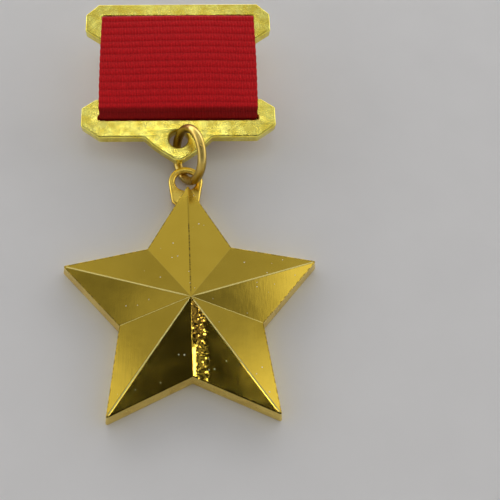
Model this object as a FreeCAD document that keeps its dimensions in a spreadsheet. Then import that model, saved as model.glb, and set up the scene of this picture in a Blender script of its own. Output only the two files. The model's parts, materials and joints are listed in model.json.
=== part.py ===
import FreeCAD, Part
import os

import Sketcher
from FreeCAD import Placement, Rotation, Vector

# A gold star medal that hangs by one ring from a ribbon bar, lying face up.
# Frame: the origin is on the surface the medal lies on, under the middle of its outline; +X to
# the right as it is read, +Y up the medal towards the ribbon, +Z out of its face.  Millimetres.

doc = FreeCAD.newDocument("StarMedal")

# ---------------------------------------------------------------- driving dimensions
SIZES = [
    # the star
    ("star_reach", "15", "centre to the tip of a ray, at the rim"),
    ("star_notch", "8.13", "centre to the inner corner between two rays"),
    ("star_wall", "2.0", "height of the rim above the back"),
    ("star_crown", "1.8", "height of the centre above the rim"),
    ("star_flare", "1.028", "the back's outline against the rim's"),
    ("star_foot_reach", "15.2", "how far the rays reach at the back"),
    ("star_yaw", "0.78", "how far the star hangs off straight, degrees"),
    ("recess_scale", "0.86", "outline of the back's recess against the star's"),
    ("recess_depth", "0.5", ""),
    ("eyelet_centre", "15.8", "star centre to the middle of the eyelet"),
    ("eyelet_across", "-0.22", "the eyelet sits a little left of the ray"),
    ("eyelet_outer", "2.1", ""),
    ("eyelet_inner", "1.3", ""),
    ("eyelet_low", "1.19", "underside of the eyelet"),
    ("eyelet_thick", "0.7", ""),
    ("eyelet_leg_foot", "12.6", "where the eyelet's legs end on the ray"),
    ("eyelet_leg_half", "1.95", ""),
    # the ring
    ("ring_mean", "3.192", "mean radius"),
    ("ring_wire", "0.46", "wire radius"),
    ("ring_sweep", "358.4", "all but the joint in the ring, degrees"),
    ("ring_x", "-0.052", "the ring's middle, from the star's centre"),
    ("ring_y", "18.451", ""),
    ("ring_z", "3.472", ""),
    ("ring_facing_x", "-0.879", "the way the leaning ring faces"),
    ("ring_facing_y", "-0.315", ""),
    ("ring_facing_z", "0.358", ""),
    # the suspension frame
    ("frame_thick", "1.5", ""),
    ("bar_half", "12.15", "half the frame's width"),
    ("bar_top", "19.45", "top edge above the bottom edge"),
    ("top_corner_across", "10.5", ""),
    ("top_corner_along", "17.85", ""),
    ("upper_ear_low", "15.4", ""),
    ("upper_ear_inner", "10.3", ""),
    ("upper_ear_foot", "14.1", ""),
    ("waist_half", "9.7", ""),
    ("lower_ear_top", "5.3", ""),
    ("lower_ear_inner", "10.4", ""),
    ("lower_ear_shoulder", "4.1", ""),
    ("lower_corner_along", "1.6", ""),
    ("lower_corner_across", "9.86", ""),
    ("lug_half", "4.27", ""),
    ("lug_kink_across", "3.15", ""),
    ("lug_kink_along", "-1.1", ""),
    ("lug_cheek_across", "2.1", ""),
    ("lug_cheek_along", "-1.9", ""),
    ("lug_tip_half", "0.43", ""),
    ("lug_tip_along", "-3.05", ""),
    ("lug_hole", "1.2", "radius of the lug's hole"),
    ("lug_hole_along", "-0.2", ""),
    ("slot_half", "9.9", ""),
    ("low_slot_bottom", "2.45", ""),
    ("low_slot_top", "2.95", ""),
    ("high_slot_bottom", "16.95", ""),
    ("high_slot_top", "17.45", ""),
    ("frame_bevel", "0.25", "bevel round the front edges"),
    # core and ribbon
    ("core_half", "9.6", ""),
    ("core_thick", "1.05", ""),
    ("core_slope", "0.66", "how far the core's long sides lean in"),
    ("core_round", "0.15", ""),
    ("ribbon_half", "9.8", ""),
    ("ribbon_thick", "0.42", ""),
    ("ribbon_gap", "0.01", "air between the ribbon and what it is wrapped round"),
    ("wrap_slope", "0.85", "how far the wrap's outside leans in over its long sides"),
    ("wrap_knee", "0.14", "where the outside starts to lean, above the frame's face"),
    ("wrap_inner_slope", "0.66", ""),
    ("wrap_inner_knee", "0.02", ""),
    ("wrap_round", "0.25", ""),
    ("lap_low", "6.0", "the ribbon's lapped end"),
    ("lap_high", "13.5", ""),
    # back of the bar
    ("back_half", "9.3", ""),
    ("back_low", "3.6", ""),
    ("back_high", "16.6", ""),
    ("back_thick", "0.35", ""),
    ("back_corner", "1.2", ""),
    ("pin_along", "9.75", "the brooch pin's line above the bottom edge"),
    ("strip_left", "-8.9", ""),
    ("strip_right", "8.2", ""),
    ("strip_half", "1.6", ""),
    ("strip_thick", "0.5", ""),
    ("rivet_across", "4.0", ""),
    ("rivet_shank", "0.6", ""),
    ("rivet_head", "1.1", ""),
    ("rivet_head_thick", "0.35", ""),
    ("rivet_head_room", "0.1", "air round the rivets' heads inside the core"),
    ("pin_depth", "4.46", "the needle's axis behind the frame's face"),
    ("hinge_across", "-7.6", ""),
    ("ear_half", "0.9", ""),
    ("ear_gap", "0.45", "half the gap between the hinge's ears"),
    ("ear_thick", "0.4", ""),
    ("ear_drop", "0.98", "how far the ears reach past the hinge's axis"),
    ("hinge_pin", "0.33", ""),
    ("hinge_hole", "0.37", ""),
    ("hinge_head", "0.58", ""),
    ("hinge_head_thick", "0.2", ""),
    ("needle_wire", "0.35", ""),
    ("needle_eye", "0.8", ""),
    ("needle_eye_half", "0.4", ""),
    ("needle_root", "0.6", "where the wire leaves the eye, from the hinge's axis"),
    ("needle_taper", "5.2", "where the needle starts to taper"),
    ("needle_end", "8.6", ""),
    ("needle_tip", "0.08", ""),
    ("drum_outer", "1.15", ""),
    ("drum_bore", "0.88", ""),
    ("drum_left", "5.9", ""),
    ("drum_right", "8.1", ""),
    ("drum_slot", "0.45", "half the width of the needle's slot"),
    ("drum_foot", "0.91", "where the foot starts inside the drum's wall, above its axis"),
    ("slot_overrun", "0.5", "how far the slot cutters run past the drums' ends"),
    ("lock_outer", "0.84", ""),
    ("lock_bore", "0.46", ""),
    ("lock_left", "5.5", ""),
    ("lock_right", "8.95", ""),
    ("lock_slot", "0.4", "half the width of the lock's slot"),
    ("lock_flange", "1.08", ""),
    ("lock_flange_thick", "0.3", ""),
    ("lock_knob_left", "8.2", ""),
    ("tab_reach", "1.75", ""),
    ("tab_half", "0.3", ""),
    ("tab_inset", "0.15", "from the knob's end faces"),
    # where the star and the bar lie
    ("star_x", "0.065", "the star's centre, from the origin"),
    ("star_y", "-13.9", ""),
    ("bar_across", "-1.272", "the lower bar's bottom edge, from the star's centre"),
    ("bar_along", "21.03", ""),
    ("bar_height", "3.64", "the face of the lower bar above the table"),
    ("bar_tilt", "11.2", "degrees"),
]

sheet = doc.addObject("Spreadsheet::Sheet", "Sizes")
for row, (alias, value, note) in enumerate(SIZES, start=1):
    sheet.set(f"A{row}", alias)
    sheet.set(f"B{row}", value)
    sheet.set(f"C{row}", note)
    sheet.setAlias(f"B{row}", alias)
doc.recompute()


def number(alias):
    """A size from the sheet, as a plain number."""
    return float(sheet.get(alias))


def bound(alias):
    """A size as (number, expression); a leading minus sign is allowed."""
    if alias.startswith("-"):
        return -number(alias[1:]), f"-Sizes.{alias[1:]}"
    return number(alias), f"Sizes.{alias}"


# ---------------------------------------------------------------- sketches
def origin_part(body, role):
    """The body's own origin plane or axis with this role."""
    return next(f for f in body.Origin.OriginFeatures if f.Role == role)


def sketch_on(body, name, plane, level=None):
    """An empty sketch on one of the body's origin planes, raised by an expression."""
    sketch = body.newObject("Sketcher::SketchObject", name)
    sketch.AttachmentSupport = [(origin_part(body, plane), "")]
    sketch.MapMode = "FlatFace"
    if level:
        sketch.setExpression("AttachmentOffset.Base.z", level)
    return sketch


def pin_point(sketch, line, corner):
    """Ties the start of a line to its (across, along) sizes."""
    for kind, (value, rule) in zip(("DistanceX", "DistanceY"), corner):
        index = sketch.addConstraint(Sketcher.Constraint(kind, -1, 1, line, 1, value))
        sketch.setExpression(f"Constraints[{index}]", rule)


def draw_polygon(sketch, corners):
    """A closed run of straight lines through corners given as pairs of (number, rule)."""
    first = sketch.GeometryCount
    points = [Vector(across[0], along[0], 0) for across, along in corners]
    for here, there in zip(points, points[1:] + points[:1]):
        sketch.addGeometry(Part.LineSegment(here, there), False)
    count = len(points)
    for step in range(count):
        following = first + (step + 1) % count
        sketch.addConstraint(Sketcher.Constraint("Coincident", first + step, 2, following, 1))
    for step, corner in enumerate(corners):
        pin_point(sketch, first + step, corner)


def draw_box(sketch, left, right, low, high):
    draw_polygon(sketch, [(left, low), (right, low), (right, high), (left, high)])


def draw_circle(sketch, across, along, radius):
    """A circle whose centre and radius are (number, rule) pairs."""
    index = sketch.addGeometry(Part.Circle(Vector(across[0], along[0], 0), Vector(0, 0, 1), radius[0]), False)
    for kind, (value, rule) in zip(("DistanceX", "DistanceY"), (across, along)):
        spot = sketch.addConstraint(Sketcher.Constraint(kind, -1, 1, index, 3, value))
        sketch.setExpression(f"Constraints[{spot}]", rule)
    spot = sketch.addConstraint(Sketcher.Constraint("Radius", index, radius[0]))
    sketch.setExpression(f"Constraints[{spot}]", radius[1])


ZERO = (0.0, "0")


# ---------------------------------------------------------------- body features
def new_body(label):
    body = doc.addObject("PartDesign::Body", label)
    body.Label = label
    return body


def pad(body, sketch, length, both_ways=False, reverse=False):
    feature = body.newObject("PartDesign::Pad", "Pad")
    feature.Profile = sketch
    feature.setExpression("Length", length)
    feature.Midplane = both_ways
    feature.Reversed = reverse
    doc.recompute()
    return feature


def pocket(body, sketch, length, both_ways=False, reverse=False):
    """A pocket that must remove something."""
    before = body.Shape.Volume
    feature = body.newObject("PartDesign::Pocket", "Pocket")
    feature.Profile = sketch
    feature.setExpression("Length", length)
    feature.Midplane = both_ways
    feature.Reversed = reverse
    doc.recompute()
    if body.Shape.Volume > before - 1e-6:
        raise RuntimeError(f"{body.Label}: {sketch.Name} cuts nothing")
    return feature


def spin(body, sketch, axis, angle="360"):
    feature = body.newObject("PartDesign::Revolution", "Revolution")
    feature.Profile = sketch
    feature.ReferenceAxis = (origin_part(body, axis), [""])
    feature.setExpression("Angle", angle)
    doc.recompute()
    return feature


def edges_where(shape, wanted):
    return [f"Edge{i}" for i, edge in enumerate(shape.Edges, start=1) if wanted(edge)]


def dress(body, kind, edges, size_name, rule):
    """A Fillet or Chamfer on the named edges of the body's tip."""
    base = body.Tip
    feature = body.newObject(f"PartDesign::{kind}", kind)
    feature.Base = (base, edges)
    feature.setExpression(size_name, rule)
    doc.recompute()
    return feature


def all_at(edge, height):
    return all(abs(v.Z - height) < 1e-6 for v in edge.Vertexes)


def runs_across(edge):
    """True for a straight edge along X."""
    if len(edge.Vertexes) < 2:
        return False
    run = edge.Vertexes[1].Point - edge.Vertexes[0].Point
    return abs(run.x) > 1e-6 and abs(run.y) < 1e-6 and abs(run.z) < 1e-6


# ---------------------------------------------------------------- where things lie
STAR_CENTRE = Vector(number("star_x"), number("star_y"), 0)
BAR = Placement(
    STAR_CENTRE + Vector(number("bar_across"), number("bar_along"), number("bar_height")),
    Rotation(Vector(1, 0, 0), number("bar_tilt")),
)
PIN_LINE = BAR.multiply(Placement(Vector(0, number("pin_along"), -number("pin_depth")), Rotation()))
STAR = Placement(STAR_CENTRE, Rotation(Vector(0, 0, 1), number("star_yaw")))

# Layers behind the frame's face, as rules
RIBBON_BACK = "(Sizes.frame_thick + Sizes.ribbon_gap + Sizes.ribbon_thick)"
LAP_BACK = "(Sizes.frame_thick + Sizes.ribbon_gap + 2 * Sizes.ribbon_thick)"
PLATE_BACK = "(Sizes.frame_thick + 2 * Sizes.ribbon_gap + 2 * Sizes.ribbon_thick + Sizes.back_thick)"
plate_back = (
    number("frame_thick") + 2 * number("ribbon_gap") + 2 * number("ribbon_thick") + number("back_thick")
)
strip_back = plate_back + number("strip_thick")
STRIP_BACK = f"({PLATE_BACK} + Sizes.strip_thick)"

# The frame's two ribbon slots, as the aliases of their edges
SLOTS = (("low_slot_bottom", "low_slot_top"), ("high_slot_bottom", "high_slot_top"))


# ---------------------------------------------------------------- the star
def star_sketch(name, scale, height):
    """A five-pointed outline, as ten corners, scaled and raised by rules given as pairs."""
    sketch = doc.addObject("Sketcher::SketchObject", name)
    corners = []
    for step in range(10):
        arm = "star_reach" if step % 2 == 0 else "star_notch"
        turn = 90 + 36 * step
        ray = Rotation(Vector(0, 0, 1), turn).multVec(Vector(number(arm) * scale[0], 0, 0))
        rule = f"Sizes.{arm} * {scale[1]}"
        corners.append(((ray.x, f"{rule} * cos({turn} deg)"), (ray.y, f"{rule} * sin({turn} deg)")))
    draw_polygon(sketch, corners)
    sketch.setExpression("Placement.Base.z", height)
    return sketch


def loft(name, sections):
    feature = doc.addObject("Part::Loft", name)
    feature.Sections = sections
    feature.Solid = True
    feature.Ruled = True
    return feature


def make_star_blank():
    """Sloping side walls under ten flat facets that meet over the centre."""
    foot = star_sketch("StarFoot", (number("star_flare"), "Sizes.star_flare"), "0")
    rim = star_sketch("StarRim", (1.0, "1"), "Sizes.star_wall")
    peak = doc.addObject("Part::Vertex", "StarPeak")
    peak.setExpression("Z", "Sizes.star_wall + Sizes.star_crown")
    whole = doc.addObject("Part::MultiFuse", "StarWhole")
    whole.Shapes = [loft("StarWalls", [foot, rim]), loft("StarCrown", [rim, peak])]
    reach = doc.addObject("Part::Cylinder", "StarFootReach")
    reach.setExpression("Radius", "Sizes.star_foot_reach")
    reach.setExpression("Height", "Sizes.star_wall + Sizes.star_crown")
    blank = doc.addObject("Part::Common", "StarBlank")
    blank.Base = whole
    blank.Tool = reach
    return blank


def make_star_body(blank):
    """The star with a shallow recess that leaves a raised rim on its back."""
    outline = star_sketch("RecessOutline", (number("recess_scale"), "Sizes.recess_scale"), "0")
    recess = doc.addObject("Part::Extrusion", "Recess")
    recess.Base = outline
    recess.DirMode = "Custom"
    recess.Dir = Vector(0, 0, 1)
    recess.Solid = True
    recess.setExpression("LengthFwd", "Sizes.recess_depth")
    star = doc.addObject("Part::Cut", "star_body")
    star.Base = blank
    star.Tool = recess
    star.Label = "star_body"
    star.Placement = STAR
    return star


def eyelet_disc(name, radius):
    disc = doc.addObject("Part::Cylinder", name)
    disc.setExpression("Radius", radius)
    disc.setExpression("Height", "Sizes.eyelet_thick")
    disc.setExpression("Placement.Base.x", "Sizes.eyelet_across")
    disc.setExpression("Placement.Base.y", "Sizes.eyelet_centre")
    disc.setExpression("Placement.Base.z", "Sizes.eyelet_low")
    return disc


def make_star_eyelet(blank):
    """A flat loop whose legs run down to the top ray, shaped to the ray's walls."""
    legs = doc.addObject("Part::Box", "EyeletLegs")
    legs.setExpression("Length", "2 * Sizes.eyelet_leg_half")
    legs.setExpression("Width", "Sizes.eyelet_centre - Sizes.eyelet_leg_foot")
    legs.setExpression("Height", "Sizes.eyelet_thick")
    legs.setExpression("Placement.Base.x", "Sizes.eyelet_across - Sizes.eyelet_leg_half")
    legs.setExpression("Placement.Base.y", "Sizes.eyelet_leg_foot")
    legs.setExpression("Placement.Base.z", "Sizes.eyelet_low")
    outer = doc.addObject("Part::Fuse", "EyeletOuter")
    outer.Base = eyelet_disc("EyeletDisc", "Sizes.eyelet_outer")
    outer.Tool = legs
    loop = doc.addObject("Part::Cut", "EyeletLoop")
    loop.Base = outer
    loop.Tool = eyelet_disc("EyeletHole", "Sizes.eyelet_inner")
    eyelet = doc.addObject("Part::Cut", "star_eyelet")
    eyelet.Base = loop
    eyelet.Tool = blank
    eyelet.Label = "star_eyelet"
    eyelet.Placement = STAR
    return eyelet


# ---------------------------------------------------------------- the ring
def make_jump_ring():
    body = new_body("jump_ring")
    wire = sketch_on(body, "RingWire", "XZ_Plane")
    draw_circle(wire, bound("ring_mean"), ZERO, bound("ring_wire"))
    spin(body, wire, "Z_Axis", "Sizes.ring_sweep")
    lean = Vector(number("ring_facing_x"), number("ring_facing_y"), number("ring_facing_z"))
    centre = STAR_CENTRE + Vector(number("ring_x"), number("ring_y"), number("ring_z"))
    body.Placement = Placement(centre, Rotation(Vector(0, 0, 1), lean))
    return body


# ---------------------------------------------------------------- the bar
def frame_corners():
    """Right half of the frame's outline, from the lug's tip up to the top edge."""
    names = [
        ("lug_tip_half", "lug_tip_along"),
        ("lug_cheek_across", "lug_cheek_along"),
        ("lug_kink_across", "lug_kink_along"),
        ("lug_half", None),
        ("lower_corner_across", None),
        ("bar_half", "lower_corner_along"),
        ("bar_half", "lower_ear_shoulder"),
        ("lower_ear_inner", "lower_ear_top"),
        ("waist_half", "lower_ear_top"),
        ("waist_half", "upper_ear_foot"),
        ("upper_ear_inner", "upper_ear_foot"),
        ("bar_half", "upper_ear_low"),
        ("bar_half", "top_corner_along"),
        ("top_corner_across", "bar_top"),
    ]
    right = [(bound(across), bound(along) if along else ZERO) for across, along in names]
    left = [((-across[0], f"-{across[1]}"), along) for across, along in reversed(right)]
    return right + left


def make_suspension_frame():
    """Stamped frame: two bars with ears, a bridge between two ribbon slots, and the lug."""
    body = new_body("suspension_frame")
    outline = sketch_on(body, "FrameOutline", "XY_Plane", "-Sizes.frame_thick")
    draw_polygon(outline, frame_corners())
    pad(body, outline, "Sizes.frame_thick")
    holes = sketch_on(body, "FrameHoles", "XY_Plane")
    for low, high in SLOTS:
        draw_box(holes, bound("-slot_half"), bound("slot_half"), bound(low), bound(high))
    draw_circle(holes, ZERO, bound("lug_hole_along"), bound("lug_hole"))
    for side in ("-rivet_across", "rivet_across"):
        draw_circle(holes, bound(side), bound("pin_along"), bound("rivet_shank"))
    pocket(body, holes, "Sizes.frame_thick")

    def on_front_outline(edge):
        if not all_at(edge, 0.0) or edge.Curve.TypeId != "Part::GeomLine":
            return False
        reach = number("slot_half") + 1e-6
        for low, high in SLOTS:
            bottom, top = number(low) - 1e-6, number(high) + 1e-6
            if all(abs(v.X) < reach and bottom < v.Y < top for v in edge.Vertexes):
                return False
        return True

    dress(body, "Chamfer", edges_where(body.Shape, on_front_outline), "Size", "Sizes.frame_bevel")
    body.Placement = BAR
    return body


def make_ribbon_core():
    """A stiffener on the front of the bridge, whose long sides lean in under the ribbon."""
    body = new_body("ribbon_core")
    section = sketch_on(body, "CoreSection", "YZ_Plane")
    low, high = bound("low_slot_top"), bound("high_slot_bottom")
    low_in = (low[0] + number("core_slope"), "Sizes.low_slot_top + Sizes.core_slope")
    high_in = (high[0] - number("core_slope"), "Sizes.high_slot_bottom - Sizes.core_slope")
    top = bound("core_thick")
    draw_polygon(section, [(low, ZERO), (high, ZERO), (high_in, top), (low_in, top)])
    pad(body, section, "2 * Sizes.core_half", both_ways=True)
    plan = sketch_on(body, "CoreHoles", "XY_Plane")
    for side in ("-rivet_across", "rivet_across"):
        rim = (number("rivet_head") + number("rivet_head_room"), "Sizes.rivet_head + Sizes.rivet_head_room")
        draw_circle(plan, bound(side), bound("pin_along"), rim)
    pocket(body, plan, "2 * Sizes.core_thick", reverse=True)
    edges = edges_where(body.Shape, lambda e: all_at(e, top[0]) and runs_across(e))
    dress(body, "Fillet", edges, "Radius", "Sizes.core_round")
    body.Placement = BAR
    return body


def ribbon_wrap(sketch, spread, slope, knee):
    """Section of the wrap, grown by spread, with long sides that lean in above the knee."""
    grow, rule = spread
    low = (number("low_slot_top") - grow, f"Sizes.low_slot_top - {rule}")
    high = (number("high_slot_bottom") + grow, f"Sizes.high_slot_bottom + {rule}")
    back = (-number("frame_thick") - grow, f"-Sizes.frame_thick - {rule}")
    front = (number("core_thick") + grow, f"Sizes.core_thick + {rule}")
    low_in = (low[0] + number(slope), f"{low[1]} + Sizes.{slope}")
    high_in = (high[0] - number(slope), f"{high[1]} - Sizes.{slope}")
    level = bound(knee)
    corners = [(low, back), (low, level), (low_in, front), (high_in, front), (high, level), (high, back)]
    draw_polygon(sketch, corners)


def make_ribbon():
    """A band wrapped round bridge and core through both slots, its ends lapped on the back."""
    body = new_body("ribbon")
    outside = sketch_on(body, "RibbonOutside", "YZ_Plane")
    gap, thick = number("ribbon_gap"), number("ribbon_thick")
    both = "(Sizes.ribbon_gap + Sizes.ribbon_thick)"
    ribbon_wrap(outside, (gap + thick, both), "wrap_slope", "wrap_knee")
    pad(body, outside, "2 * Sizes.ribbon_half", both_ways=True)
    front = number("core_thick") + gap + thick
    back = -number("frame_thick") - gap - thick
    edges = edges_where(body.Shape, lambda e: runs_across(e) and (all_at(e, front) or all_at(e, back)))
    dress(body, "Fillet", edges, "Radius", "Sizes.wrap_round")
    inside = sketch_on(body, "RibbonInside", "YZ_Plane")
    ribbon_wrap(inside, (gap, "Sizes.ribbon_gap"), "wrap_inner_slope", "wrap_inner_knee")
    pocket(body, inside, "3 * Sizes.ribbon_half", both_ways=True)
    lap = sketch_on(body, "RibbonLap", "XY_Plane", f"-{RIBBON_BACK}")
    draw_box(lap, bound("-ribbon_half"), bound("ribbon_half"), bound("lap_low"), bound("lap_high"))
    pad(body, lap, "Sizes.ribbon_thick", reverse=True)
    holes = sketch_on(body, "RibbonRivetHoles", "XY_Plane", f"-{LAP_BACK}")
    for side in ("-rivet_across", "rivet_across"):
        draw_circle(holes, bound(side), bound("pin_along"), bound("rivet_shank"))
    pocket(body, holes, "2 * Sizes.ribbon_thick + Sizes.ribbon_gap", reverse=True)
    body.Placement = BAR
    return body


def make_backing_plate():
    """A thin plate with cut corners over the ribbon's ends."""
    body = new_body("backing_plate")
    plan = sketch_on(body, "BackingPlan", "XY_Plane", f"-{PLATE_BACK}")
    cut = number("back_corner")
    near_side = (number("back_half") - cut, "Sizes.back_half - Sizes.back_corner")
    far_side = (-near_side[0], "Sizes.back_corner - Sizes.back_half")
    low_cut = (number("back_low") + cut, "Sizes.back_low + Sizes.back_corner")
    high_cut = (number("back_high") - cut, "Sizes.back_high - Sizes.back_corner")
    low, high = bound("back_low"), bound("back_high")
    right, left = bound("back_half"), bound("-back_half")
    corners = [(near_side, low), (right, low_cut), (right, high_cut), (near_side, high)]
    corners += [(far_side, high), (left, high_cut), (left, low_cut), (far_side, low)]
    draw_polygon(plan, corners)
    for side in ("-rivet_across", "rivet_across"):
        draw_circle(plan, bound(side), bound("pin_along"), bound("rivet_shank"))
    pad(body, plan, "Sizes.back_thick")
    body.Placement = BAR
    return body


def make_pin_bar():
    """The brooch's strip with two hinge ears turned down at its left end."""
    body = new_body("pin_bar")
    level = f"-{STRIP_BACK}"
    plan = sketch_on(body, "StripPlan", "XY_Plane", level)
    low = (number("pin_along") - number("strip_half"), "Sizes.pin_along - Sizes.strip_half")
    high = (number("pin_along") + number("strip_half"), "Sizes.pin_along + Sizes.strip_half")
    draw_box(plan, bound("strip_left"), bound("strip_right"), low, high)
    for side in ("-rivet_across", "rivet_across"):
        draw_circle(plan, bound(side), bound("pin_along"), bound("rivet_shank"))
    pad(body, plan, "Sizes.strip_thick")
    middle = "-Sizes.pin_along"
    ears = sketch_on(body, "EarSide", "XZ_Plane", middle)
    hinge, half = number("hinge_across"), number("ear_half")
    wide_left = (hinge - half, "Sizes.hinge_across - Sizes.ear_half")
    wide_right = (hinge + half, "Sizes.hinge_across + Sizes.ear_half")
    foot_left = (hinge - half / 2, "Sizes.hinge_across - Sizes.ear_half / 2")
    foot_right = (hinge + half / 2, "Sizes.hinge_across + Sizes.ear_half / 2")
    top = (-strip_back, f"-{STRIP_BACK}")
    knee = bound("-pin_depth")
    sole = (-number("pin_depth") - number("ear_drop"), "-Sizes.pin_depth - Sizes.ear_drop")
    corners = [(foot_left, sole), (foot_right, sole), (wide_right, knee)]
    corners += [(wide_right, top), (wide_left, top), (wide_left, knee)]
    draw_polygon(ears, corners)
    pad(body, ears, "2 * (Sizes.ear_gap + Sizes.ear_thick)", both_ways=True)
    gap = sketch_on(body, "EarGap", "XZ_Plane", middle)
    gap_left = (hinge - 2 * half, "Sizes.hinge_across - 2 * Sizes.ear_half")
    gap_right = (hinge + 2 * half, "Sizes.hinge_across + 2 * Sizes.ear_half")
    gap_sole = (sole[0] - half, f"{sole[1]} - Sizes.ear_half")
    draw_box(gap, gap_left, gap_right, gap_sole, top)
    pocket(body, gap, "2 * Sizes.ear_gap", both_ways=True)
    bore = sketch_on(body, "EarBore", "XZ_Plane", middle)
    draw_circle(bore, bound("hinge_across"), knee, bound("hinge_pin"))
    pocket(body, bore, "4 * Sizes.ear_gap + 4 * Sizes.ear_thick", both_ways=True)
    body.Placement = BAR
    return body


def make_frame_rivet(label, side):
    """A rivet with a head behind the strip and one in the core."""
    body = new_body(label)
    section = sketch_on(body, "RivetSection", "XZ_Plane")
    head, shank = bound("rivet_head"), bound("rivet_shank")
    front = bound("rivet_head_thick")
    back = (-strip_back, f"-{STRIP_BACK}")
    end = (-strip_back - number("rivet_head_thick"), f"-{STRIP_BACK} - Sizes.rivet_head_thick")
    corners = [(ZERO, end), (head, end), (head, back), (shank, back)]
    corners += [(shank, ZERO), (head, ZERO), (head, front), (ZERO, front)]
    draw_polygon(section, corners)
    spin(body, section, "Z_Axis")
    spot = Vector(side * number("rivet_across"), number("pin_along"), 0)
    body.Placement = BAR.multiply(Placement(spot, Rotation()))
    return body


def make_pin_needle():
    """A straight wire, tapered to its point, with a flat eye at the hinge."""
    body = new_body("pin_needle")
    eye = sketch_on(body, "NeedleEye", "XZ_Plane")
    draw_circle(eye, bound("hinge_across"), ZERO, bound("needle_eye"))
    pad(body, eye, "2 * Sizes.needle_eye_half", both_ways=True)
    section = sketch_on(body, "NeedleSection", "XZ_Plane")
    start = (number("hinge_across") + number("needle_root"), "Sizes.hinge_across + Sizes.needle_root")
    wire, taper, end, tip = (bound(a) for a in ("needle_wire", "needle_taper", "needle_end", "needle_tip"))
    draw_polygon(section, [(start, ZERO), (start, wire), (taper, wire), (end, tip), (end, ZERO)])
    spin(body, section, "X_Axis")
    bore = sketch_on(body, "NeedleBore", "XZ_Plane")
    draw_circle(bore, bound("hinge_across"), ZERO, bound("hinge_hole"))
    pocket(body, bore, "4 * Sizes.needle_eye_half", both_ways=True)
    body.Placement = PIN_LINE
    return body


def make_hinge_rivet():
    """The hinge's pin, headed on both sides of the ears."""
    body = new_body("hinge_rivet")
    section = sketch_on(body, "HingeSection", "XY_Plane")
    reach = number("ear_gap") + number("ear_thick")
    rule = "Sizes.ear_gap + Sizes.ear_thick"
    end, end_rule = reach + number("hinge_head_thick"), f"{rule} + Sizes.hinge_head_thick"
    pin, head = bound("hinge_pin"), bound("hinge_head")
    near, far = (-reach, f"-({rule})"), (reach, rule)
    near_end, far_end = (-end, f"-({end_rule})"), (end, end_rule)
    corners = [(ZERO, near_end), (head, near_end), (head, near), (pin, near)]
    corners += [(pin, far), (head, far), (head, far_end), (ZERO, far_end)]
    draw_polygon(section, corners)
    spin(body, section, "Y_Axis")
    body.Placement = PIN_LINE.multiply(Placement(Vector(number("hinge_across"), 0, 0), Rotation()))
    return body


def make_catch_case():
    """The catch's fixed drum, slotted away from the strip, on a foot."""
    body = new_body("catch_case")
    section = sketch_on(body, "CaseSection", "XZ_Plane")
    draw_box(section, bound("drum_left"), bound("drum_right"), bound("drum_bore"), bound("drum_outer"))
    spin(body, section, "X_Axis")
    foot = sketch_on(body, "CaseFoot", "XY_Plane", "Sizes.drum_foot")
    half = (number("strip_half") / 2, "Sizes.strip_half / 2")
    draw_box(foot, bound("drum_left"), bound("drum_right"), (-half[0], f"-{half[1]}"), half)
    pad(body, foot, f"Sizes.pin_depth - {STRIP_BACK} - Sizes.drum_foot")
    slot = sketch_on(body, "CaseSlot", "XY_Plane")
    overrun = number("slot_overrun")
    left = (number("drum_left") - overrun, "Sizes.drum_left - Sizes.slot_overrun")
    right = (number("drum_right") + overrun, "Sizes.drum_right + Sizes.slot_overrun")
    draw_box(slot, left, right, bound("-drum_slot"), bound("drum_slot"))
    pocket(body, slot, "2 * Sizes.drum_outer")
    body.Placement = PIN_LINE
    return body


def make_catch_lock():
    """The turning drum: a slotted sleeve with a flange inside, and a knob with a thumb tab."""
    body = new_body("catch_lock")
    section = sketch_on(body, "LockSection", "XZ_Plane")
    bore, outer, flange = bound("lock_bore"), bound("lock_outer"), bound("lock_flange")
    left, right, knob = bound("lock_left"), bound("lock_right"), bound("lock_knob_left")
    inner_end = number("lock_left") + number("lock_flange_thick")
    shoulder = (inner_end, "Sizes.lock_left + Sizes.lock_flange_thick")
    corners = [(left, bore), (right, bore), (right, flange), (knob, flange)]
    corners += [(knob, outer), (shoulder, outer), (shoulder, flange), (left, flange)]
    draw_polygon(section, corners)
    spin(body, section, "X_Axis")
    tab = sketch_on(body, "LockTab", "XY_Plane")
    inset = number("tab_inset")
    tab_left = (knob[0] + inset, "Sizes.lock_knob_left + Sizes.tab_inset")
    tab_right = (right[0] - inset, "Sizes.lock_right - Sizes.tab_inset")
    tab_root = (outer[0], "Sizes.lock_outer")
    draw_box(tab, tab_left, tab_right, tab_root, bound("tab_reach"))
    pad(body, tab, "2 * Sizes.tab_half", both_ways=True)
    slot = sketch_on(body, "LockSlot", "XY_Plane")
    overrun = number("slot_overrun")
    slot_left = (left[0] - overrun, "Sizes.lock_left - Sizes.slot_overrun")
    slot_right = (right[0] + overrun, "Sizes.lock_right + Sizes.slot_overrun")
    draw_box(slot, slot_left, slot_right, bound("-lock_slot"), bound("lock_slot"))
    pocket(body, slot, "2 * Sizes.lock_outer")
    body.Placement = PIN_LINE
    return body


# ---------------------------------------------------------------- assembly
star_blank = make_star_blank()
pieces = [
    make_star_body(star_blank),
    make_star_eyelet(star_blank),
    make_jump_ring(),
    make_suspension_frame(),
    make_ribbon_core(),
    make_ribbon(),
    make_backing_plate(),
    make_pin_bar(),
    make_frame_rivet("frame_rivet_left", -1),
    make_frame_rivet("frame_rivet_right", 1),
    make_pin_needle(),
    make_hinge_rivet(),
    make_catch_case(),
    make_catch_lock(),
]
doc.recompute()

for item in doc.Objects:
    if "Invalid" in item.State or "Error" in item.State:
        raise RuntimeError(f"{item.Name} failed: {item.State}")
for piece in pieces:
    if piece.Shape.isNull() or not piece.Shape.isValid() or len(piece.Shape.Solids) != 1:
        raise RuntimeError(f"{piece.Label} is not one valid solid")

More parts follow.
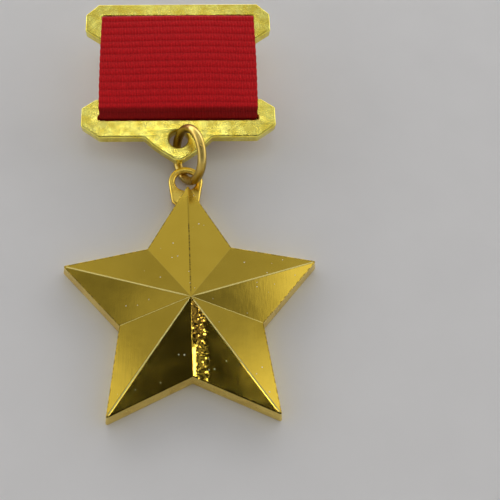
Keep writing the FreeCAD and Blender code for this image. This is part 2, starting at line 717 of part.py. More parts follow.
os.makedirs("parts", exist_ok=True)
for piece in pieces:
    piece.Shape.exportStep(f"parts/{piece.Label}.step")
    box = piece.Shape.BoundBox
    print(f"{piece.Label}: {piece.Shape.Volume:.2f} mm3, z {box.ZMin:.3f} to {box.ZMax:.3f}")
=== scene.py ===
import json
import math

import bmesh
import bpy
import numpy as np
from mathutils import Matrix, Vector


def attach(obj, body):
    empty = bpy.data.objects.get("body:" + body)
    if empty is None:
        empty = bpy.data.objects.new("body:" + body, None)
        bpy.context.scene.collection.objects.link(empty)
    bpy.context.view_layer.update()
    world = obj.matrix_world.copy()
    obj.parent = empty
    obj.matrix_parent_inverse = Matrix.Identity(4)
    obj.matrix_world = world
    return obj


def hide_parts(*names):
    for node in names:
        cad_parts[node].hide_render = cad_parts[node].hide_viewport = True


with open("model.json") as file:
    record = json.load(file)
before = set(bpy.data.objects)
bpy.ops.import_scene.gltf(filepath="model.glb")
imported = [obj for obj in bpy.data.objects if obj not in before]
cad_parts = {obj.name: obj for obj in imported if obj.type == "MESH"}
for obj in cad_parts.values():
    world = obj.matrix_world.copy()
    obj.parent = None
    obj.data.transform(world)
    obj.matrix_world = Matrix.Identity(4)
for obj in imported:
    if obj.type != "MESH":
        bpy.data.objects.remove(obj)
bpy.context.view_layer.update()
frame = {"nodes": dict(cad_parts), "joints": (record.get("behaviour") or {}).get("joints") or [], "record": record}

MM = 0.001
joints = {j["name"]: j for j in frame["joints"]}
mounts = {m["name"]: m for m in frame["record"]["mounts"]}

# ------------------------------------------------------------------ where things are
# Numbers are in millimetres unless a line says otherwise.
# The star's own frame: its centre on the table, +Y towards the eyelet.
REACH, NOTCH, WALL, CROWN = 15.0, 8.13, 2.0, 1.8
EYELET_X, EYELET_Y, BACK_MOUNT_Y = -0.22, 15.8, -7.67
eyelet_at = Vector(joints["star_sway"]["pos_m"])
back_at = Vector(mounts["star_back"]["pos_m"])
star_turn = math.atan2(eyelet_at.y - back_at.y, eyelet_at.x - back_at.x)
star_turn -= math.atan2(EYELET_Y - BACK_MOUNT_Y, EYELET_X)
STAR = Matrix.Translation(back_at) @ Matrix.Rotation(star_turn, 4, "Z")
STAR = STAR @ Matrix.Translation((0, -BACK_MOUNT_Y * MM, 0))
star_centre = STAR.translation

# The bar's own frame: +X across, +Y up its face, +Z out of it, from the lower bar's bottom edge.
bar_normal = Vector(joints["ring_sway"]["axis"]).normalized()
bar_up = bar_normal.cross(Vector((1, 0, 0))).normalized()
HOLE_Y, HALF_THICK = -0.2, 0.75
bar_at = Vector(joints["ring_sway"]["pos_m"]) - bar_up * HOLE_Y * MM + bar_normal * HALF_THICK * MM
BAR = Matrix.Translation(bar_at) @ Matrix((Vector((1, 0, 0)), bar_up, bar_normal)).transposed().to_4x4()


# ------------------------------------------------------------------ mesh helpers
def link(name, mesh):
    piece = bpy.data.objects.new(name, mesh)
    bpy.context.scene.collection.objects.link(piece)
    return piece


def mesh_piece(name, points, faces, place):
    """A mesh piece from points in millimetres in a local frame."""
    mesh = bpy.data.meshes.new(name)
    mesh.from_pydata([tuple(p) for p in np.asarray(points) * MM], [], faces)
    mesh.transform(place)
    mesh.validate()
    mesh.update()
    for face in mesh.polygons:
        face.use_smooth = True
    return link(name, mesh)


def store(piece, name, values):
    """Keeps one number per point on a piece, for its material to read."""
    layer = piece.data.attributes.new(name, "FLOAT", "POINT")
    layer.data.foreach_set("value", values.astype(np.float32))


def bridge(rows, count):
    """Quads between consecutive closed rows of count points."""
    faces = []
    for row in range(rows - 1):
        for i in range(count):
            j = (i + 1) % count
            faces.append((row * count + i, row * count + j, (row + 1) * count + j, (row + 1) * count + i))
    return faces


def face_out(piece):
    """Turns a closed piece's faces outward."""
    edit = bmesh.new()
    edit.from_mesh(piece.data)
    bmesh.ops.recalc_face_normals(edit, faces=edit.faces)
    edit.to_mesh(piece.data)
    edit.free()


def soften(piece, width):
    """Rounds a piece's sharp edges."""
    bevel = piece.modifiers.new("Rounded", "BEVEL")
    bevel.width = width * MM
    bevel.segments = 2
    bevel.limit_method = "ANGLE"
    bevel.angle_limit = math.radians(30)
    bevel.harden_normals = True


def cad_copy(node, name, width):
    """A piece with a CAD node's shape and rounded edges, to stand for it."""
    mesh = frame["nodes"][node].data.copy()
    mesh.materials.clear()
    edit = bmesh.new()
    edit.from_mesh(mesh)
    bmesh.ops.remove_doubles(edit, verts=edit.verts, dist=1e-7)
    bmesh.ops.dissolve_limit(edit, angle_limit=math.radians(1), verts=edit.verts, edges=edit.edges)
    bmesh.ops.recalc_face_normals(edit, faces=edit.faces)
    edit.to_mesh(mesh)
    edit.free()
    for face in mesh.polygons:
        face.use_smooth = True
    piece = link(name, mesh)
    soften(piece, width)
    return piece


def flat_plate(name, outline, holes, back, front, rounding, place, steps=3):
    """A plate with rounded edges: an outline and holes in millimetres, between two heights."""
    curve = bpy.data.curves.new(name, "CURVE")
    curve.dimensions = "2D"
    curve.fill_mode = "BOTH"
    for ring in [outline] + holes:
        spline = curve.splines.new("POLY")
        spline.points.add(len(ring) - 1)
        for point, (x, y) in zip(spline.points, ring):
            point.co = (x * MM, y * MM, 0, 1)
        spline.use_cyclic_u = True
    curve.offset = -rounding * MM
    curve.bevel_depth = rounding * MM
    curve.bevel_resolution = steps
    curve.extrude = ((front - back) / 2 - rounding) * MM
    draft = bpy.data.objects.new(name + "_draft", curve)
    bpy.context.scene.collection.objects.link(draft)
    bpy.context.view_layer.update()
    graph = bpy.context.evaluated_depsgraph_get()
    mesh = bpy.data.meshes.new_from_object(draft.evaluated_get(graph))
    bpy.data.objects.remove(draft)
    bpy.data.curves.remove(curve)
    mesh.name = name
    edit = bmesh.new()
    edit.from_mesh(mesh)
    bmesh.ops.remove_doubles(edit, verts=edit.verts, dist=2e-7)
    bmesh.ops.recalc_face_normals(edit, faces=edit.faces)
    edit.to_mesh(mesh)
    edit.free()
    mesh.transform(place @ Matrix.Translation((0, 0, (front + back) / 2 * MM)))
    for face in mesh.polygons:
        face.use_smooth = True
    piece = link(name, mesh)
    weigh = piece.modifiers.new("Weigh", "WEIGHTED_NORMAL")
    weigh.weight = 80
    return piece


def rounded_corners(corners, radii, steps=5):
    """An outline whose corners are turned into arcs."""
    out = []
    count = len(corners)
    for i in range(count):
        here = Vector(corners[i])
        before = Vector(corners[i - 1]) - here
        after = Vector(corners[(i + 1) % count]) - here
        radius = radii[i] if isinstance(radii, (list, tuple)) else radii
        half = before.angle(after) / 2
        run = min(radius / math.tan(half), 0.45 * before.length, 0.45 * after.length)
        radius = run * math.tan(half)
        start, end = here + before.normalized() * run, here + after.normalized() * run
        middle = here + (before.normalized() + after.normalized()).normalized() * (radius / math.sin(half))
        spread = (start - middle).angle_signed(end - middle)
        for step in range(steps + 1):
            arm = start - middle
            arm.rotate(Matrix.Rotation(-spread * step / steps, 2))
            out.append(tuple(middle + arm))
    return out


def circle_points(x, y, radius, count=48):
    turns = [2 * math.pi * i / count for i in range(count)]
    return [(x + radius * math.cos(a), y + radius * math.sin(a)) for a in turns]


# ------------------------------------------------------------------ materials
def new_material(name):
    material = bpy.data.materials.new(name)
    material.use_nodes = True
    return material, material.node_tree, material.node_tree.nodes["Principled BSDF"]


def add(tree, kind, **values):
    """A node; a value named in_Some_Input sets that input and any other sets a property."""
    node = tree.nodes.new(kind)
    for key, value in values.items():
        if key.startswith("in_"):
            node.inputs[key[3:].replace("_", " ")].default_value = value
        else:
            setattr(node, key, value)
    return node


def noise(tree, place, size, detail=3.0, roughness=0.5):
    """Noise whose features are about size millimetres across."""
    node = add(tree, "ShaderNodeTexNoise", in_Scale=1 / (size * MM), in_Detail=detail, in_Roughness=roughness)
    tree.links.new(place.outputs["Object"], node.inputs["Vector"])
    return node.outputs["Fac"]


def ramp(tree, value, *stops):
    """A colour ramp through (place, colour) stops."""
    node = add(tree, "ShaderNodeValToRGB")
    bar = node.color_ramp
    while len(bar.elements) < len(stops):
        bar.elements.new(0.5)
    for element, (at, colour) in zip(bar.elements, stops):
        element.position = at
        element.color = (*colour, 1) if len(colour) == 3 else colour
    tree.links.new(value, node.inputs["Fac"])
    return node.outputs["Color"]


def span(tree, value, low, high, to_low, to_high):
    """Maps a value from low..high to to_low..to_high, and holds it there outside."""
    node = add(tree, "ShaderNodeMapRange", in_From_Min=low, in_From_Max=high)
    node.inputs["To Min"].default_value = to_low
    node.inputs["To Max"].default_value = to_high
    tree.links.new(value, node.inputs["Value"])
    return node.outputs["Result"]


def math_node(tree, kind, a, b):
    node = add(tree, "ShaderNodeMath", operation=kind)
    for socket, value in zip(node.inputs, (a, b)):
        if isinstance(value, (int, float)):
            socket.default_value = value
        else:
            tree.links.new(value, socket)
    return node.outputs["Value"]


def vector_node(tree, kind, a, b=None):
    """A vector operation on a socket and, where given, a constant or another socket."""
    node = add(tree, "ShaderNodeVectorMath", operation=kind)
    tree.links.new(a, node.inputs[0])
    if isinstance(b, tuple):
        node.inputs[1].default_value = b
    elif b is not None:
        tree.links.new(b, node.inputs["Scale" if kind == "SCALE" else 1])
    return node.outputs["Vector"]


def bumps(tree, shader, layers):
    """Chains bump layers given as (height, strength, depth in millimetres)."""
    normal = None
    for height, strength, depth in layers:
        node = add(tree, "ShaderNodeBump", in_Strength=strength, in_Distance=depth * MM)
        tree.links.new(height, node.inputs["Height"])
        if normal is not None:
            tree.links.new(normal, node.inputs["Normal"])
        normal = node.outputs["Normal"]
    tree.links.new(normal, shader.inputs["Normal"])
    return normal


def gold(name, pale, deep, rough, peel, grain, drift=6.0, side_shade=None):
    """Plated gold: a colour that drifts, orange peel, fine grain and, where asked, steep sides painted darker as
    shade.
    """
    material, tree, shader = new_material(name)
    place = add(tree, "ShaderNodeTexCoord")
    colour = ramp(tree, noise(tree, place, drift, 4, 0.6), (0.38, deep), (0.62, pale))
    # Steep sides painted darker as shade.
    if side_shade:
        facing = add(tree, "ShaderNodeSeparateXYZ")
        tree.links.new(add(tree, "ShaderNodeNewGeometry").outputs["Normal"], facing.inputs["Vector"])
        steep = math_node(tree, "ABSOLUTE", facing.outputs["Z"], 0)
        colour = mix_colours(tree, span(tree, steep, 0.25, 0.85, 1.0, 0.0), colour, side_shade)
    tree.links.new(colour, shader.inputs["Base Color"])
    shader.inputs["Metallic"].default_value = 1.0
    smear = noise(tree, place, 1.7, 5, 0.65)
    tree.links.new(span(tree, smear, 0.3, 0.7, rough * 0.7, rough * 1.35), shader.inputs["Roughness"])
    coarse, fine = noise(tree, place, 1.1, 2), noise(tree, place, 0.12, 3, 0.6)
    bumps(tree, shader, [(coarse, peel, 0.02), (fine, grain, 0.01)])
    return material


def mark(tree, name):
    """A value stored on the mesh's points."""
    return add(tree, "ShaderNodeAttribute", attribute_name=name).outputs["Fac"]


def mix_colours(tree, share, first, second):
    """A mix of two colours, each a constant or a socket."""
    node = add(tree, "ShaderNodeMix", data_type="RGBA")
    tree.links.new(share, node.inputs["Factor"])
    for socket, colour in ((node.inputs["A"], first), (node.inputs["B"], second)):
        if isinstance(colour, tuple):
            socket.default_value = (*colour, 1)
        else:
            tree.links.new(colour, socket)
    return node.outputs["Result"]


# The pale specks, painted as glints: their spacing and rarity.
SPECK_SPACING, SPECK_RARITY = 0.62, 0.74
SCRATCH_WIDTH, GRAIN_SIZE, GRAIN_LEAN = 0.16, 0.14, 0.27


def star_gold():
    """Mirror gold: worn ridges painted pale as highlights, a darker top ridge, a rim painted dark as shade,
    scratches, pale specks painted as glints and a pebbled strip.
    """
    material, tree, shader = new_material("polished_gold")
    place = add(tree, "ShaderNodeTexCoord")
    drift = noise(tree, place, 5.0, 3)
    ridge, pebbled = mark(tree, "ridge"), mark(tree, "pebbled")
    stained, soldered = mark(tree, "stained"), mark(tree, "soldered")
    plain = ramp(tree, drift, (0.35, (0.93, 0.65, 0.07)), (0.65, (1.0, 0.71, 0.085)))
    # Worn ridges: the pale colour is a painted highlight, the added roughness is their wear.
    worn = span(tree, ridge, 0.0, 0.7, 0.0, 1.0)
    breaks = span(tree, noise(tree, place, 0.30, 2), 0.47, 0.53, 0.1, 0.9)
    # Darker along the top ridge, and along the rim as painted shade.
    dark_ridge_and_rim_shade = math_node(tree, "MULTIPLY", span(tree, ridge, 0.0, -0.7, 0.0, 1.0), breaks)
    colour = mix_colours(tree, worn, plain, (1.0, 0.86, 0.33))
    colour = mix_colours(tree, dark_ridge_and_rim_shade, colour, (0.32, 0.22, 0.05))
    colour = mix_colours(tree, math_node(tree, "MULTIPLY", stained, 0.55), colour, (0.62, 0.30, 0.06))

    # Pale non-metal specks on the facets are painted glints.
    cells = add(tree, "ShaderNodeTexVoronoi", in_Scale=1 / (SPECK_SPACING * MM))
    tree.links.new(place.outputs["Object"], cells.inputs["Vector"])
    chosen = add(tree, "ShaderNodeSeparateColor")
    tree.links.new(cells.outputs["Color"], chosen.inputs["Color"])
    rare = math_node(tree, "GREATER_THAN", chosen.outputs["Red"], SPECK_RARITY)
    size = span(tree, chosen.outputs["Green"], 0, 1, 0.03, 0.14)
    glint_specks = math_node(tree, "MULTIPLY", math_node(tree, "LESS_THAN", cells.outputs["Distance"], size), rare)
    tree.links.new(mix_colours(tree, glint_specks, colour, (0.85, 0.80, 0.66)), shader.inputs["Base Color"])
    tree.links.new(math_node(tree, "SUBTRACT", 1.0, glint_specks), shader.inputs["Metallic"])
    smear = span(tree, noise(tree, place, 1.7, 5, 0.65), 0.3, 0.7, 0.07, 0.14)
    smear = math_node(tree, "ADD", smear, math_node(tree, "MULTIPLY", soldered, 0.25))
    rough = math_node(tree, "ADD", smear, math_node(tree, "MULTIPLY", worn, 0.3))
    tree.links.new(rough, shader.inputs["Roughness"])

    strokes = add(tree, "ShaderNodeMapping")
    strokes.inputs["Scale"].default_value = (1, 0.05, 1)
    tree.links.new(place.outputs["Object"], strokes.inputs["Vector"])
    scratch = add(tree, "ShaderNodeTexNoise", in_Scale=1 / (SCRATCH_WIDTH * MM), in_Detail=2.0)
    tree.links.new(strokes.outputs["Vector"], scratch.inputs["Vector"])

    grains = add(tree, "ShaderNodeTexVoronoi", in_Scale=1 / (GRAIN_SIZE * MM))
    tree.links.new(place.outputs["Object"], grains.inputs["Vector"])
    lean = vector_node(tree, "SUBTRACT", grains.outputs["Color"], (0.5, 0.5, 0.5))
    lean = vector_node(tree, "SCALE", lean, math_node(tree, "MULTIPLY", pebbled, GRAIN_LEAN))
    peel = noise(tree, place, 1.3, 2)
    normal = bumps(tree, shader, [(peel, 0.3, 0.012), (scratch.outputs["Fac"], 0.16, 0.01)])
    grainy = vector_node(tree, "NORMALIZE", vector_node(tree, "ADD", normal, lean))
    tree.links.new(grainy, shader.inputs["Normal"])
    return material


POLISHED = star_gold()
SATIN = gold("satin_gold", (1.0, 0.78, 0.17), (0.85, 0.62, 0.11), 0.24, 0.3, 0.3, 2.0)
GRAINY = gold("grained_gold", (1.0, 0.91, 0.20), (0.86, 0.70, 0.09), 0.24, 0.35, 0.9, 1.3)
# The eyelet and the ring wire have their steep sides painted darker as shade, the last colour given.
BRIGHT = gold("bright_gold", (1.0, 0.74, 0.13), (0.86, 0.58, 0.08), 0.28, 0.4, 0.3, 1.5, (0.50, 0.32, 0.06))
WIRE = gold("ring_wire_gold", (0.92, 0.69, 0.20), (0.74, 0.51, 0.10), 0.30, 0.4, 0.3, 1.5, (0.40, 0.27, 0.05))
BACK = gold("back_gold", (0.80, 0.62, 0.26), (0.70, 0.52, 0.20), 0.32, 0.3, 0.5)
BRASS = gold("plain_brass", (0.78, 0.58, 0.26), (0.66, 0.47, 0.18), 0.28, 0.3, 0.35)


def steel():
    """Drawn wire: fine lines along the needle."""
    material, tree, shader = new_material("drawn_steel")
    place = add(tree, "ShaderNodeTexCoord")
    stretch = add(tree, "ShaderNodeMapping")
    stretch.inputs["Scale"].default_value = (0.03, 1, 1)
    tree.links.new(place.outputs["Object"], stretch.inputs["Vector"])
    lines = add(tree, "ShaderNodeTexNoise", in_Scale=1 / (0.05 * MM), in_Detail=2.0)
    tree.links.new(stretch.outputs["Vector"], lines.inputs["Vector"])
    tree.links.new(ramp(tree, lines.outputs["Fac"], (0.3, (0.52, 0.51, 0.49)), (0.7, (0.72, 0.71, 0.69))),
                   shader.inputs["Base Color"])
    shader.inputs["Metallic"].default_value = 1.0
    shader.inputs["Roughness"].default_value = 0.24
    bumps(tree, shader, [(lines.outputs["Fac"], 0.3, 0.01)])
    return material


STEEL = steel()


THREAD_PITCH = 0.21  # across the ribbon, between its fine warp threads


def ribbon_cloth():
    """Ribbed silk: crowns painted lighter and furrows painted darker as light and shade, folds painted dark as
    shade, fine warp threads and a soft sheen.
    """
    material, tree, shader = new_material("ribbed_silk")
    place = add(tree, "ShaderNodeTexCoord")
    # Rib crowns painted lighter and furrows painted darker, as light and shade across the ribs.
    colour = ramp(tree, mark(tree, "rib"), (0.0, (0.56, 0.007, 0.011)), (0.5, (0.69, 0.009, 0.014)),
                  (1.0, (0.76, 0.011, 0.016)))
    across = add(tree, "ShaderNodeSeparateXYZ")
    tree.links.new(place.outputs["Object"], across.inputs["Vector"])
    turns = math_node(tree, "MULTIPLY", across.outputs["X"], 2 * math.pi / (THREAD_PITCH * MM))
    threads = math_node(tree, "SINE", turns, 0)
    speck = noise(tree, place, 0.25, 3, 0.7)
    worn = span(tree, speck, 0.3, 0.7, 0.80, 1.15)
    # The folds where the band turns are painted dark as shade.
    fold_shade = mark(tree, "fold_shade")
    shade = math_node(tree, "MULTIPLY", span(tree, threads, -1, 1, 0.86, 1.08), worn)
    shade = math_node(tree, "MULTIPLY", shade, span(tree, fold_shade, 0, 1, 1.0, 0.42))
    mix = add(tree, "ShaderNodeVectorMath", operation="SCALE")
    tree.links.new(colour, mix.inputs[0])
    tree.links.new(shade, mix.inputs["Scale"])
    tree.links.new(mix.outputs["Vector"], shader.inputs["Base Color"])
    shader.inputs["Roughness"].default_value = 0.6
    shader.inputs["Specular IOR Level"].default_value = 0.12
    shader.inputs["Sheen Weight"].default_value = 0.05
    shader.inputs["Sheen Tint"].default_value = (1.0, 0.15, 0.15, 1)
    bumps(tree, shader, [(threads, 0.35, 0.03), (speck, 0.4, 0.04)])
    return material


RIBBON = ribbon_cloth()


# ------------------------------------------------------------------ the star
# Places along each side of the outline, from 0 to 1, closer together near its corners
STRAIGHT = [0.0, 0.01, 0.03, 0.05, 0.07, 0.10, 0.15, 0.24, 0.38, 0.5, 0.62, 0.76, 0.87, 0.94, 0.98, 1.0]
ARC_STEPS = 6
FLARE = 1.028  # the foot's outline, as a share of the star's
LIP = 0.025  # sets how wide the rim's rounded edge is
RIM_HEIGHT, FOOT_HEIGHT = WALL - 0.05, 0.12  # where the side walls start and end
RECESS = 0.5  # how deep the back is hollowed
FACET, SIDE, BEHIND = 0, 1, 2  # the star's materials, in order
RIM_SCALE, RIM_SHADE_MARK = 0.99, -0.7  # facet rows further out than this share are the rim, painted dark as shade
DARK_RIDGE_REACH = 0.64  # how far out the darker top ridge runs, as a share
VALLEY_BAND, BAND_START, BAND_LIFT = 0.5, -4.3, 0.045  # the band beside the bottom valley
PEBBLED_WIDTH, PEBBLED_FADE, RIDGE_FADE = 1.75, 0.6, 0.2  # the pebbled strip and its soft edges
STAIN_END, STAIN_FADE = -6.0, 2.0
SOLDER_START, SOLDER_FADE = 11.8, 2.0


def star_ring(scale, round_tip, round_notch):
    """One closed row of points round the star's outline, with rounded corners."""
    corners = []
    for step in range(10):
        arm = REACH if step % 2 == 0 else NOTCH
        turn = math.radians(90 + 36 * step)
        corners.append((arm * scale * math.cos(turn), arm * scale * math.sin(turn)))
    arcs = []
    for i in range(10):
        here = np.array(corners[i])
        before, after = np.array(corners[i - 1]) - here, np.array(corners[(i + 1) % 10]) - here
        side = np.linalg.norm(after)
        before, after = before / side, after / side
        half = math.acos(np.clip(before @ after, -1, 1)) / 2
        radius = round_tip if i % 2 == 0 else round_notch
        run = min(radius / math.tan(half), 0.3 * side)
        radius = run * math.tan(half)
        inward = (before + after) / np.linalg.norm(before + after)
        middle = here + inward * radius / math.sin(half)
        start, end = here + before * run, here + after * run
        first = math.atan2(*(start - middle)[::-1])
        sweep = math.atan2(*(end - middle)[::-1]) - first
        sweep = (sweep + math.pi) % (2 * math.pi) - math.pi
        arcs.append([middle + radius * np.array((math.cos(first + sweep * s / ARC_STEPS),
                                                 math.sin(first + sweep * s / ARC_STEPS)))
                     for s in range(ARC_STEPS + 1)])
    row = []
    for i in range(10):
        row.extend(arcs[i])
        start, end = arcs[i][-1], arcs[(i + 1) % 10][0]
        row.extend(start + (end - start) * part for part in STRAIGHT[1:-1])
    return np.array(row)


def ridge_marks():
    """One row's ridge marks: 1 where worn and painted pale as a highlight, less where faint, -1 on the darker top
    ridge, 0 on the facets.
    """
    top_ridge, bottom_valley, upper_valleys = 0, 5, (1, 9)
    wear_and_highlight = {top_ridge: -1, bottom_valley: 0} | {valley: 0.1 for valley in upper_valleys}
    row = []
    for i in range(10):
        worn = wear_and_highlight.get(i, 1)
        row.extend(worn if 1 < step < ARC_STEPS - 1 else 0 for step in range(ARC_STEPS + 1))
        row.extend(0 for _ in STRAIGHT[1:-1])
    return row


def star_profile():
    """Rows from the peak over the rim to the recess: scale, height, tip and notch radii, material."""
    half_turn = math.radians(36)
    side_offset = REACH * NOTCH * math.sin(half_turn)
    side_offset /= math.hypot(REACH - NOTCH * math.cos(half_turn), NOTCH * math.sin(half_turn))
    lip = LIP / side_offset
    rim = 1 + 0.3 * lip
    crown = np.concatenate([[0.004, 0.012, 0.03], np.linspace(0.06, 0.94, 34), [0.965, 0.978]])
    profile = [(part, WALL + CROWN * (1 - part), 0.13, 0.11, FACET) for part in crown]
    profile += [
        (0.996, WALL + CROWN * 0.004, 0.11, 0.09, FACET),
        (1 - 0.15 * lip, WALL - 0.002, 0.12, 0.1, FACET),
        (1 + 0.15 * lip, WALL - 0.02, 0.14, 0.12, FACET),
        (rim, RIM_HEIGHT, 0.15, 0.13, SIDE),
    ]
    for part in (0.3, 0.6, 0.85):
        height = RIM_HEIGHT * (1 - part) + FOOT_HEIGHT * part
        profile.append((rim + (FLARE - rim) * part, height, 0.17, 0.2, SIDE))
    profile += [
        (FLARE, FOOT_HEIGHT, 0.2, 0.22, SIDE),
        (FLARE - 0.002, 0.04, 0.22, 0.22, SIDE),
        (FLARE - 0.010, 0.0, 0.22, 0.22, BEHIND),
    ]
    # The recess: its rounded edge, its wall and its floor
    recess = [(0.872, 0.0), (0.862, 0.012), (0.858, 0.05), (0.852, 0.42), (0.845, 0.48)]
    recess += [(scale, RECESS) for scale in (0.83, 0.6, 0.3, 0.08)]
    return profile + [(scale, height, 0.2, 0.3, BEHIND) for scale, height in recess]


def star_marks(profile, points, count):
    """Raises the bright band beside the bottom valley, and says where the gold is worn, marked, painted pale as
    highlight or painted dark as shade.
    """
    crown = np.repeat([row[4] == FACET for row in profile], count)
    lower = crown & (points[:, 0] > 0) & (points[:, 1] < 0)
    band = np.clip(1 - points[:, 0] / VALLEY_BAND, 0, 1) * np.clip(BAND_START - points[:, 1], 0, 1) * lower
    points[:, 2] += BAND_LIFT * band
    from_ridge = -points[:, 1] * math.tan(math.radians(36)) - points[:, 0]
    pebbled = np.clip((PEBBLED_WIDTH - points[:, 0]) / PEBBLED_FADE, 0, 1) * lower
    pebbled = pebbled * np.clip(from_ridge / RIDGE_FADE, 0, 1) * np.clip(1 - 3 * band, 0.1, 1)
    stained = pebbled * np.clip((points[:, 1] - STAIN_END) / STAIN_FADE, 0, 1)
    soldered = np.clip((points[:, 1] - SOLDER_START) / SOLDER_FADE, 0, 1)
    scale = np.repeat([row[0] for row in profile], count)
    ridge = np.tile(ridge_marks(), len(profile)) * crown
    # The rim rows are marked to be painted dark as shade.
    ridge[crown & (scale > RIM_SCALE)] = RIM_SHADE_MARK
    ridge[(ridge == -1) & (scale > DARK_RIDGE_REACH)] = 0
    return {"ridge": ridge, "pebbled": pebbled, "soldered": soldered, "stained": stained}


def make_star():
    """Facets, rounded rim, side walls and recessed back, as rows from the peak to the middle behind."""
    profile = star_profile()
    rows = []
    for scale, height, tip, notch, _ in profile:
        ring = star_ring(scale, tip, notch)
        rows.append(np.column_stack([ring, np.full(len(ring), height)]))
    count = len(rows[0])
    points = np.concatenate(rows)
    marks = star_marks(profile, points, count)
    faces = bridge(len(rows), count)
    looks = [profile[i // count][4] for i in range(len(faces))]
    points = list(points) + [(0, 0, WALL + CROWN), (0, 0, RECESS)]
    peak, behind = len(points) - 2, len(points) - 1
    last_row = (len(rows) - 1) * count
    for i in range(count):
        j = (i + 1) % count
        faces += [(peak, j, i), (behind, last_row + i, last_row + j)]
        looks += [FACET, BEHIND]
    star = mesh_piece("star_shell", points, faces, STAR)
    for face, look in zip(star.data.polygons, looks):
        face.material_index = look
    face_out(star)
    for name, values in marks.items():
        store(star, name, np.append(values, (0, 0)))
    for material in (POLISHED, SATIN, BACK):
        star.data.materials.append(material)
    star.data.set_sharp_from_angle(angle=math.radians(25))
    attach(star, "star")
    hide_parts("star_body")


make_star()


# ------------------------------------------------------------------ eyelet and ring
EYELET_OUTER, EYELET_INNER = 2.1, 1.29
EYELET_LOW, EYELET_TOP, EYELET_ROUNDING = 1.19, 1.89, 0.33


def make_eyelet():
    """A loop whose legs run down to the ray."""
    arc = [math.radians(a) for a in range(-8, 189, 7)]
    outline = [(EYELET_X + EYELET_OUTER * math.cos(a), EYELET_Y + EYELET_OUTER * math.sin(a)) for a in arc]
    legs = [(-1.95, 14.4), (-1.7, 12.9), (-1.2, 12.5), (1.2, 12.5), (1.6, 12.9), (1.85, 14.4)]
    outline += [(EYELET_X + x, y) for x, y in legs]
    hole = circle_points(EYELET_X, EYELET_Y, EYELET_INNER)
    eyelet = flat_plate("eyelet_loop", outline, [hole], EYELET_LOW, EYELET_TOP, EYELET_ROUNDING, STAR, 5)
    eyelet.data.materials.append(BRIGHT)
    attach(eyelet, "star")
    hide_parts("star_eyelet")


make_eyelet()


def ring_frame():
    """Centre, axis and radii of the CAD ring, measured from its mesh."""
    points = np.array([v.co for v in frame["nodes"]["jump_ring"].data.vertices])
    middle = points.mean(0)
    axis = np.linalg.svd(points - middle, full_matrices=False)[2][2]
    for _ in range(4):
        flat = points - middle - np.outer((points - middle) @ axis, axis)
        far = np.linalg.norm(flat, axis=1)
        outward = flat / far[:, None]
        rim = far > np.percentile(far, 60)
        middle = middle + 0.5 * (outward[rim] * (far[rim] - far[rim].mean())[:, None]).mean(0)
    wire = (far.max() - far.min()) / 2
    return Vector(middle), Vector(axis), (far.max() + far.min()) / 2, wire


RING_GAP = math.radians(1.6)
RING_JOINT = math.radians(90)  # puts the joint behind the lug
CUT_EASE = (0.86, 0.95, 1.0)  # the wire's radius at a cut end and one and two steps from it


def make_ring():
    """Round wire bent to a ring, with its two cut ends almost closed."""
    middle, axis, mean, wire = ring_frame()
    first = axis.cross(Vector((1, 0, 0))).normalized()
    second = axis.cross(first)
    along, round_it = 150, 28
    points = []
    for i in range(along + 1):
        turn = RING_GAP / 2 + (2 * math.pi - RING_GAP) * i / along + RING_JOINT
        outward = first * math.cos(turn) + second * math.sin(turn)
        radius = wire * CUT_EASE[min(i, along - i, 2)]
        for k in range(round_it):
            a = 2 * math.pi * k / round_it
            point = middle + outward * (mean + radius * math.cos(a)) + axis * radius * math.sin(a)
            points.append(tuple(point / MM))
    faces = bridge(along + 1, round_it)
    faces.append(tuple(range(round_it))[::-1])
    faces.append(tuple(along * round_it + k for k in range(round_it)))
    ring = mesh_piece("ring_wire", points, faces, Matrix.Identity(4))
    face_out(ring)
    ring.data.materials.append(WIRE)
    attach(ring, "ring")
    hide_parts("jump_ring")


make_ring()


# ------------------------------------------------------------------ the bar
SLOT_HALF, SLOTS = 9.9, ((2.45, 2.95), (16.95, 17.6))
LUG_HOLE, FRAME_ROUNDING = 1.17, 0.24


def make_frame():
    """Two bars with ears, the bridge between the ribbon's slots, and the lug with its hole."""
    right = [(0.43, -3.05), (2.1, -1.9), (3.15, -1.1), (4.27, 0), (9.86, 0), (12.15, 1.6), (12.15, 4.1),
             (10.4, 5.3), (9.7, 5.3), (9.7, 14.1), (10.3, 14.1), (12.15, 15.4), (12.15, 17.85), (10.5, 19.45)]
    corners = right + [(-x, y) for x, y in reversed(right)]
    outline = rounded_corners(corners, 0.35, 4)
    holes = []
    for low, high in SLOTS:
        slot = [(-SLOT_HALF, low), (SLOT_HALF, low), (SLOT_HALF, high), (-SLOT_HALF, high)]
        holes.append(rounded_corners(slot, 0.1, 3))
    holes.append(circle_points(0, HOLE_Y, LUG_HOLE, 64))
    piece = flat_plate("frame_plate", outline, holes, -2 * HALF_THICK, 0.0, FRAME_ROUNDING, BAR, 4)
    piece.data.materials.append(GRAINY)
    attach(piece, "bar")
    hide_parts("suspension_frame")


make_frame()


# The ribbon: one ribbed band through both slots
RIBBON_HALF, RIB_PITCH, RIB_DEPTH = 9.8, 1.0, 0.055
HALF_RIBBON, BACK_RIBS = 0.19, 0.35  # half its thickness, and how deep the inner side's ribs are
CORD_PITCH, CORD_TWIST = 0.42, 0.035  # the twist that shows along each rib
PUFF, BULGE = 0.26, 0.10  # how far the front swells out, and its edges outward
FRONT_LOW, FRONT_RUN = 2.7, 14.7  # where the front starts, and its length up the bar
STEP = 0.07  # between the rows along the wrap
COLUMNS = 171


